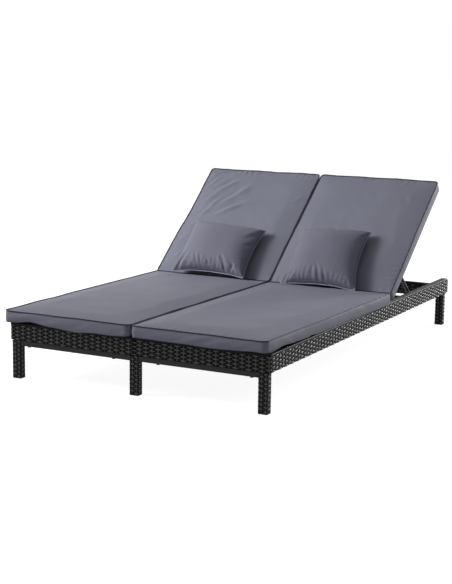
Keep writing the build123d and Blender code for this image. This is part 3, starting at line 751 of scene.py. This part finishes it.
backPadLook = {
    "node": "back_pad_", "hem": backHemMaterial, "footGap": 0.0,
    "thick": 0.048, "crown": 0.003, "radii": (0.008, 0.013),
    "shift": {"left": ((-0.001, 0.002), (0.000, 0.006)), "right": ((0.000, 0.003), (0.006, 0.010))},
    "wander": 0.003, "sagging": 0.004, "lumps": 0.0016,
    "creaseLip": 0.5,  # the groove below each crease against its height
    # creases in the cover: x from the pad's middle, y from the crease, turn in degrees, length, width, height
    "creases": {
        "left": [(-0.25, 0.665, 38, 0.08, 0.008, 0.0050), (-0.15, 0.578, 42, 0.14, 0.013, 0.0095),
                 (-0.218, 0.487, 45, 0.09, 0.012, 0.0085), (-0.074, 0.422, 36, 0.13, 0.014, 0.0095),
                 (-0.06, 0.542, 50, 0.08, 0.016, 0.0080), (-0.203, 0.392, 51, 0.07, 0.010, 0.0070),
                 (-0.174, 0.454, 57, 0.07, 0.010, 0.0060), (-0.151, 0.666, 21, 0.06, 0.008, 0.0040),
                 (-0.245, 0.60, 60, 0.09, 0.010, 0.0050), (-0.10, 0.49, 44, 0.09, 0.012, 0.0060),
                 (-0.24, 0.30, 70, 0.08, 0.009, 0.0056), (-0.25, 0.20, 75, 0.10, 0.009, 0.0056),
                 (-0.22, 0.11, 62, 0.08, 0.009, 0.0050), (0.245, 0.52, 65, 0.06, 0.009, 0.0034)],
        "right": [(-0.22, 0.60, 60, 0.08, 0.012, 0.0025), (0.20, 0.58, 110, 0.08, 0.012, 0.0025)],
    },
}


def seatWander(name, width):
    side, look = sides[name], seatPadLook

    def move(x, y, level):
        if level:
            across, along, up = look["wander"]
            return (across * ripple(x * 3, y * 4.5, 8.4 + side), along * ripple(x * 5, y * 3, 1.7 - side),
                    up * ripple(x * 7, y * 7, 3.1 * side))
        rise = 0.0
        for centre, height, reach in look["footHem"][name]:
            depth = look["saggingDepth"] if height < 0 else look["raisedDepth"]
            rise += height * hill(x, centre, reach) * hill(y, 0, depth)
        for centre, height, reach in look["sideHem"][name]:
            rise += height * hill(y, centre, reach) * hill(side * x, width / 2, look["sideDepth"])
        return 0.0, 0.0, rise
    return move


def backWander(name):
    side, look = sides[name], backPadLook

    def move(x, y, level):
        if not level:
            return 0.0, 0.0, 0.0
        rise = look["sagging"] * ripple(x * 6, y * 6, 5.3 * side)
        rise += look["lumps"] * ripple(x * 22 + y * 8, y * 14 - x * 8, 7.7 * side)
        for cx, cy, turn, length, width, height in look["creases"][name]:
            c, s = math.cos(math.radians(turn)), math.sin(math.radians(turn))
            forth, across = (x - cx) * c + (y - cy) * s, (y - cy) * c - (x - cx) * s
            ridge = hill(across, 0, width) - look["creaseLip"] * hill(across, width * 2, width)
            rise += height * hill(forth, 0, length / 2) * ridge
        return look["wander"] * ripple(x * 3, y * 4, 2.4 + side), 0.0, rise
    return move


def backBox(node):
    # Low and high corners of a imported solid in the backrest's own space
    corners = np.array([backSpace.inverted() @ v.co for v in frame["nodes"][node].data.vertices])
    return Vector(corners.min(0)), Vector(corners.max(0))


for name in sides:
    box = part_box(f"seat_pad_{name}")
    wander = seatWander(name, box[1].x - box[0].x)
    cushion("seatPad", name, "base", box, Matrix.Identity(4), seatPadLook, wander)
    cushion("backPad", name, f"backrest_{name}", backBox(f"back_pad_{name}"), backSpace, backPadLook,
            backWander(name))
    print("pads made,", name)


# Pillows

pillowCloth = {
    "cell": 0.005,
    "panel": (0.37, 0.32),  # one cut panel, across and up
    # how far the filling pulls the middle of each edge in: low, right, high, left
    "drawnIn": {"left": (0.020, 0.017, 0.008, 0.014), "right": (0.018, 0.022, 0.008, 0.017)},
    "front": 0.076, "back": 0.034,  # how far the face stands out of the seam, and the back behind it
    "seamLift": 0.036,  # the seam above the back pad
    "roundness": 0.45, "flatEdge": 2.3,
    "gather": 0.0032,  # height of the small folds that run in from the seam
    "gatherLeast": 0.22,
    "gatherPitch": 0.026, "gatherDrift": 8,
    "gatherReach": 0.026, "gatherStart": 0.014,
    "dent": 0.004, "edgeWave": 0.003,
    "pressure": 1.2,
    "cap": 0.004,
    "seamSharpness": 0.8,
    "welt": {"radius": 0.0023, "aside": 0.0012, "lift": 0},
    "pattern": {"left": 3.7, "right": 9.2},
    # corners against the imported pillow's middle: low left, low right, high right, high left
    "corners": {
        "left": [(-0.188, -0.153), (0.186, -0.160), (0.182, 0.145), (-0.198, 0.168)],
        "right": [(-0.169, -0.180), (0.191, -0.179), (0.150, 0.176), (-0.196, 0.158)],
    },
    # where the folds are deepest along each edge, 0 to 1 round from the low left corner
    "gathered": {"left": [(0.16, 0.06, 1.0), (0.07, 0.05, 0.8), (0.30, 0.04, 0.5), (0.62, 0.08, 0.5)],
                 "right": [(0.10, 0.07, 0.9), (0.22, 0.03, 0.6), (0.44, 0.05, 0.4), (0.70, 0.08, 0.5)]},
    "creaseStrength": 1.4, "creaseFade": 0.75, "creaseLip": 0.45, "creaseStart": 0.007,
    # deep creases in mm: x and y where they leave the seam, x and y where they run out, width, depth
    "creases": {
        "left": [(-160, -150, -126, -67, 8.5, 7.5), (-79, -141, -100, -92, 5, 2.4),
                 (-54, -140, -78, -80, 5, 3.6), (-33, -136, -47, -95, 5, 3.4),
                 (23, -152, -14, -96, 6, 5.2), (95, -147, 64, -88, 6.8, 7.8),
                 (118, -153, 128, -115, 6, 6.4), (154, -164, 116, -108, 6, 5.6),
                 (178, -165, 148, -132, 6, 4.4), (186, 125, 139, 50, 9, 6), (170, 33, 141, -1, 6.5, 3.6),
                 (180, -66, 157, -77, 6, 2.6), (-190, 140, -150, 110, 8, 4), (-20, 150, -30, 118, 7, 3)],
        "right": [(-160, -176, -121, -132, 8, 7.5), (-129, -164, -112, -131, 5.5, 4.4),
                  (-13, -155, -24, -116, 5.5, 3), (19, -157, -2, -105, 6.2, 3.6),
                  (46, -156, 29, -114, 5.5, 3), (186, -176, 140, -149, 6.5, 5),
                  (180, -168, 165, -138, 6.5, 4.4), (152, 140, 130, 70, 8.5, 5),
                  (168, 37, 146, 0, 7.5, 3.6), (-185, 63, -136, 86, 6.5, 4.6),
                  (-178, 5, -134, 23, 6.5, 3.6), (0, 165, 10, 125, 7, 3.4)],
    },
}


def creaseDepth(x, y, creases):
    # Each crease is a groove between two soft ridges, deepest at the seam
    depth = 0.0
    for crease in creases:
        x0, y0, x1, y1, width, deep = [value / 1000 for value in crease]
        length = math.hypot(x1 - x0, y1 - y0)
        along = ((x - x0) * (x1 - x0) + (y - y0) * (y1 - y0)) / length ** 2
        aside = ((x - x0) * (y1 - y0) - (y - y0) * (x1 - x0)) / length
        beyond = max(-along, along - 1, 0) * length
        fade = hill(beyond, 0, width) * (1 - pillowCloth["creaseFade"] * min(max(along, 0), 1))
        groove = hill(aside, 0, width) - pillowCloth["creaseLip"] * hill(abs(aside), 2 * width, width)
        depth += pillowCloth["creaseStrength"] * deep * fade * groove
    return depth


def pillowShape(name):
    # Two panels sewn round the edge, full in the middle, flat at the corners, gathered along the seam
    look, seed = pillowCloth, pillowCloth["pattern"][name]
    corners = [np.array(c) for c in look["corners"][name]]
    drawn, (width, height) = look["drawnIn"][name], look["panel"]
    across, up = round(width / look["cell"]), round(height / look["cell"])
    points, index = [], {}
    for face in (1, -1):
        rise = look["front"] if face > 0 else look["back"]
        for j in range(up + 1):
            for i in range(across + 1):
                u, v = 2 * i / across - 1, 2 * j / up - 1
                if face < 0 and (abs(u) == 1 or abs(v) == 1):
                    index[face, i, j] = index[1, i, j]
                    continue
                s, t = (u + 1) / 2, (v + 1) / 2
                x, y = ((corners[0] * (1 - s) + corners[1] * s) * (1 - t)
                        + (corners[3] * (1 - s) + corners[2] * s) * t)
                x -= u * (drawn[1] if u > 0 else drawn[3]) * (1 - v * v)
                y -= v * (drawn[2] if v > 0 else drawn[0]) * (1 - u * u)
                flat = look["flatEdge"]
                full = ((1 - abs(u) ** flat) * (1 - abs(v) ** flat)) ** look["roundness"]
                edgeX, edgeY = (1 - abs(u)) * width / 2, (1 - abs(v)) * height / 2
                edge = min(edgeX, edgeY)
                if edgeY < edgeX:
                    run, around = x, (s / 4 if v < 0 else 0.75 - s / 4)
                else:
                    run, around = y, (0.25 + t / 4 if u > 0 else 1 - t / 4)
                bend = look["gatherDrift"] * ripple(x * 11, y * 11, seed + face)
                phase = 2 * math.pi * run / look["gatherPitch"] + bend
                strength = look["gatherLeast"] + sum(
                    amount * hill(around, at, reach) for at, reach, amount in look["gathered"][name])
                fold = (look["gather"] * strength * math.cos(phase) * math.exp(-edge / look["gatherReach"])
                        * min(1.0, edge / look["gatherStart"]))
                if face > 0:
                    fold -= creaseDepth(x, y, look["creases"][name]) * min(1.0, edge / look["creaseStart"])
                dent = look["dent"] * ripple(x * 9, y * 9, seed * 2) * full
                wave = look["edgeWave"] * ripple(x * 16, y * 16, seed) if edge == 0 else 0.0
                index[face, i, j] = len(points)
                points.append((x, y, face * (rise * full + fold + dent) + wave))
    return points, panelFaces(across, up, index, -1), [index[1, i, j] for i, j in gridRim(across, up)]


def pillow(name):
    node, body = f"pillow_{name}", f"backrest_{name}"
    low, high = backBox(node)
    points, faces, welt = pillowShape(name)
    piece = makePiece(f"pillowCover_{name}", points, faces, pillowMaterial)
    swell(piece, [(1.0, welt)], pillowCloth)
    spots = np.array([v.co for v in piece.data.vertices])
    z = spots[:, 2]
    spots[:, 2] = np.where(z > 0, z * pillowCloth["front"] / z.max(), z * pillowCloth["back"] / -z.min())
    piece.data.vertices.foreach_set("co", spots.astype(np.float32).ravel())
    seam = [piece.data.vertices[k].co.copy() for k in welt]
    creaseLoop(piece.data, welt, pillowCloth["seamSharpness"])
    finishCloth(piece)
    middle = ((low.x + high.x) / 2, (low.y + high.y) / 2, low.z + pillowCloth["seamLift"])
    place = backSpace @ Matrix.Translation(middle)
    settle(piece, place, body)
    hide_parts(node)
    sewTrim(f"pillowWelt_{name}", seam, pillowCloth["welt"], weltMaterial, place, body)


for name in sides:
    pillow(name)
print("pillows made")


# Cloth fold that joins seat and back pad, slack at rest

foldCloth = {
    "rows": 9, "columns": 40,
    "depth": 0.018,
    "inset": 0.012,  # narrower than the pads at each side
    "thick": 0.0012,
    "sewnBelow": 0.004,  # its edges under the pads' top seams
    "unevenness": 0.0015,
}


def hingeFold(name):
    seatLow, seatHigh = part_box(f"seat_pad_{name}")
    backLow = backBox(f"back_pad_{name}")[0]
    rows, across = foldCloth["rows"], foldCloth["columns"] + 1
    start = Vector((0, seatHigh.y, seatLow.z + seatPadLook["thick"] - foldCloth["sewnBelow"]))
    end = backSpace @ Vector((0, backLow.y, backLow.z + backPadLook["thick"] - foldCloth["sewnBelow"]))
    left, right = seatLow.x + foldCloth["inset"], seatHigh.x - foldCloth["inset"]
    points = []
    for layer in (0, 1):
        for row in range(rows):
            t = row / (rows - 1)
            line, slack = start.lerp(end, t), math.sin(math.pi * t)
            dip = foldCloth["depth"] * slack + layer * foldCloth["thick"]
            for column in range(across):
                x = left + (right - left) * column / (across - 1)
                bump = foldCloth["unevenness"] * slack * ripple(x * 25, 0, 4)
                points.append((x, line.y, line.z - dip + bump))
    size = rows * across
    upper = gridFaces(rows, across)
    lower = [tuple(i + size for i in reversed(face)) for face in upper]
    ring = [j * across + i for i, j in gridRim(across - 1, rows - 1)]
    ends = [(ring[k], ring[k - 1], ring[k - 1] + size, ring[k] + size) for k in range(len(ring))]
    piece = makePiece(f"hingeFold_{name}", points, upper + lower + ends, padMaterial)
    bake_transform(piece)


for name in sides:
    hingeFold(name)
print("folds made")


# Finishes of the steel, bolts and foot caps, which are shown as packed

finishBySlot = {"frame_steel": steelMaterial, "zinc_fastener": zincMaterial, "foot_plastic": footMaterial,
                "wicker": strandMaterial}
for part in frame["record"]["subparts"]:
    if part["material_slot"] in finishBySlot:
        packed = frame["nodes"][part["node"]].data.materials
        packed.clear()
        packed.append(finishBySlot[part["material_slot"]])
print("frame finished")


# Floor, light and camera

studio = {
    "floorReach": 60,
    "floorGlow": 0.92,  # what the camera sees of the floor by itself; the lamps bring it up to white
    "floorShown": 0.35,  # the floor's colour where it is looked at, and the one that lights the object
    "floorBounce": 0.5,
    "worldShown": 1.0,
    "worldLight": 0.24,
}
lamps = {
    "keyLamp": {"power": 380, "size": 4.0, "spread": 180,
                "place": (-6.0, -3.3, 4.4), "target": (0, 0, 0.2)},
    "rearRightLamp": {"power": 265, "size": 1.2, "spread": 180,
                      "place": (2.2, 5.2, 1.6), "target": (0.4, 0, 0.3)},
    "frontLamp": {"power": 5.0, "size": 0.9, "spread": 50,
                  "place": (-2.6, -1.6, 2.0), "target": (-0.2, 0.45, 0.45)},
}
photoView = {"place": (2.6846, -5.3476, 1.3169), "azimuth": 27.7, "elevation": 10.07, "roll": 0.71,
             "lens": 84.1, "sensor": 36}


def seenDirectly(tree):
    # 1 where the camera, a mirror or clear glass looks straight at a surface
    path = addNode(tree, "ShaderNodeLightPath")
    strongest = (path, "Is Camera Ray")
    for ray in ("Is Glossy Ray", "Is Transmission Ray"):
        strongest = addNode(tree, "ShaderNodeMath", {"operation": "MAXIMUM"}, {0: strongest, 1: (path, ray)})
    return strongest


def paleFloor():
    material = bpy.data.materials.new("paleFloor")
    material.use_nodes = True
    tree = material.node_tree
    tree.nodes.clear()
    pale, dim, reach = studio["floorShown"], studio["floorBounce"], studio["floorReach"]
    lit = addNode(tree, "ShaderNodeBsdfDiffuse", inputs={"Color": (pale, pale, pale, 1)})
    glow = addNode(tree, "ShaderNodeEmission", inputs={"Strength": studio["floorGlow"]})
    shown = addNode(tree, "ShaderNodeAddShader", inputs={0: lit, 1: glow})
    bounced = addNode(tree, "ShaderNodeBsdfDiffuse", inputs={"Color": (dim, dim, dim, 1)})
    mix = addNode(tree, "ShaderNodeMixShader", inputs={"Fac": seenDirectly(tree), 1: bounced, 2: shown})
    addNode(tree, "ShaderNodeOutputMaterial", inputs={"Surface": mix})
    mesh = bpy.data.meshes.new("floor")
    corners = [(-reach, -reach, 0), (reach, -reach, 0), (reach, reach, 0), (-reach, reach, 0)]
    mesh.from_pydata(corners, [], [(0, 1, 2, 3)])
    mesh.materials.append(material)
    floor = bpy.data.objects.new("floor", mesh)
    bpy.context.scene.collection.objects.link(floor)


def skyLight():
    world = bpy.data.worlds.new("studio")
    bpy.context.scene.world = world
    world.use_nodes = True
    tree = world.node_tree
    tree.nodes.clear()
    strength = addNode(tree, "ShaderNodeMapRange", inputs={
        "Value": seenDirectly(tree), "To Min": studio["worldLight"], "To Max": studio["worldShown"]})
    light = addNode(tree, "ShaderNodeBackground", inputs={"Color": (1, 1, 1, 1), "Strength": strength})
    addNode(tree, "ShaderNodeOutputWorld", inputs={"Surface": light})


def softLamp(name, setup):
    data = bpy.data.lights.new(name, "AREA")
    data.shape = "SQUARE"
    data.size = setup["size"]
    data.energy = setup["power"]
    data.spread = math.radians(setup["spread"])
    lamp = bpy.data.objects.new(name, data)
    bpy.context.scene.collection.objects.link(lamp)
    lamp.location = setup["place"]
    lamp.rotation_euler = (Vector(setup["target"]) - lamp.location).to_track_quat("-Z", "Y").to_euler()


def camera():
    data = bpy.data.cameras.new("photoView")
    data.lens = photoView["lens"]
    data.sensor_width = photoView["sensor"]
    view = bpy.data.objects.new("photoView", data)
    bpy.context.scene.collection.objects.link(view)
    turn = (Matrix.Rotation(math.radians(photoView["azimuth"]), 4, "Z")
            @ Matrix.Rotation(math.radians(90 - photoView["elevation"]), 4, "X")
            @ Matrix.Rotation(math.radians(photoView["roll"]), 4, "Z"))
    view.matrix_world = Matrix.Translation(photoView["place"]) @ turn
    bpy.context.scene.camera = view


paleFloor()
skyLight()
for name, setup in lamps.items():
    softLamp(name, setup)
camera()
bpy.context.scene.view_settings.view_transform = "Standard"

print("scene ready")
